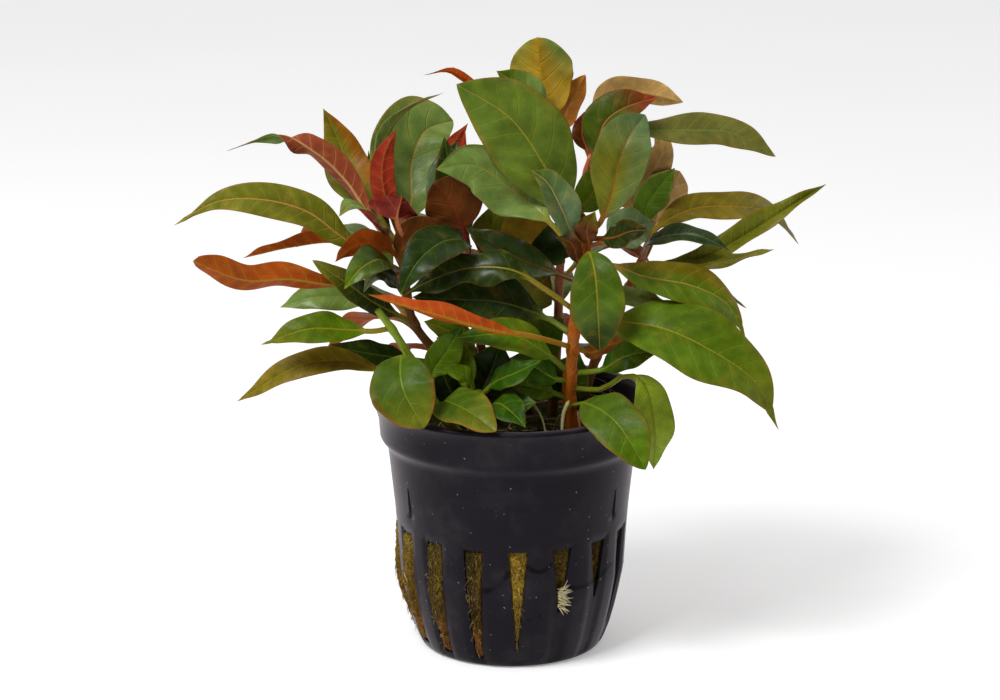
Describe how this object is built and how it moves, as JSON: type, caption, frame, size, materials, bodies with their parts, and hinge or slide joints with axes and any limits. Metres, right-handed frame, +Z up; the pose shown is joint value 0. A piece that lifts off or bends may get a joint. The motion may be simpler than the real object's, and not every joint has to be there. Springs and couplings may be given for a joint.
{
  "type": "potted aquarium plant",
  "caption": "Bushy young ludwigia glandulosa with green, copper and red lance-shaped leaves on several stems, growing in rock wool in a slotted black net pot.",
  "frame": {"origin": "the middle of the pot's base, on the surface that the pot stands on", "axes": "+Z is up along the pot's axis, the pictured front looks along -Y, and +X is to its right"},
  "size_m": [0.1242, 0.0692, 0.1175],
  "materials": {
    "pot_plastic": "satin black, moulded",
    "rock_wool": "rough mineral fibre, damp",
    "stems": "satin, living stem and young leaves",
    "green_leaves": "satin, waxy leaf",
    "copper_leaves": "satin, waxy leaf",
    "red_leaves": "satin, waxy leaf",
    "grey_leaves": "satin, waxy leaf with a grey sheen"
  },
  "bodies": {
    "root": {"pot": "pot_plastic", "growing_medium": "rock_wool", "stem_front_right": "stems", "stem_middle": "stems", "stem_back_right": "stems", "stem_right": "stems", "stem_left": "stems", "stem_centre_left": "stems", "shoot_left_front": "stems", "crown_front": "stems", "great_upright_leaf": "green_leaves", "pale_left_leaf": "grey_leaves", "pink_vein_leaf": "grey_leaves", "upright_right_leaf": "green_leaves", "hanging_front_leaf": "green_leaves", "pale_round_leaf": "grey_leaves", "right_arching_leaf": "green_leaves", "great_right_leaf": "green_leaves", "wavy_dark_leaf": "green_leaves", "thin_red_leaf": "red_leaves", "small_middle_leaf": "green_leaves", "broad_centre_leaf": "green_leaves", "rim_right_leaf": "green_leaves", "hanging_right_leaf": "green_leaves", "low_bright_leaf": "green_leaves", "rim_bright_leaf": "green_leaves", "hanging_oval_leaf": "green_leaves", "left_low_leaf": "green_leaves", "lowest_left_leaf": "green_leaves", "rim_olive_leaf": "green_leaves", "copper_arching_leaf": "red_leaves", "olive_upright_leaf": "green_leaves", "long_left_leaf": "green_leaves", "brown_edge_leaf": "copper_leaves", "great_copper_leaf": "copper_leaves", "dark_drooping_leaf": "green_leaves", "red_brown_leaf": "copper_leaves", "grey_thin_leaf": "grey_leaves", "broad_folded_leaf": "grey_leaves", "red_crown_leaf": "red_leaves", "grey_rimmed_leaf": "grey_leaves", "back_left_leaf": "green_leaves", "low_back_left_leaf": "green_leaves", "dark_front_leaf": "green_leaves", "brown_heart_leaf": "copper_leaves", "back_centre_left_leaf": "green_leaves", "top_olive_leaf": "copper_leaves", "top_grey_leaf": "grey_leaves", "orange_pointed_leaf": "copper_leaves", "back_middle_leaf": "green_leaves", "orange_back_leaf": "copper_leaves", "folded_top_leaf": "green_leaves", "far_right_leaf": "green_leaves", "back_right_leaf": "green_leaves", "low_back_leaf": "green_leaves", "tan_back_leaf": "copper_leaves", "drooping_right_leaf": "green_leaves", "rising_right_leaf": "green_leaves", "grey_right_leaf": "green_leaves", "low_back_right_leaf": "green_leaves"}
  },
  "joints": []
}
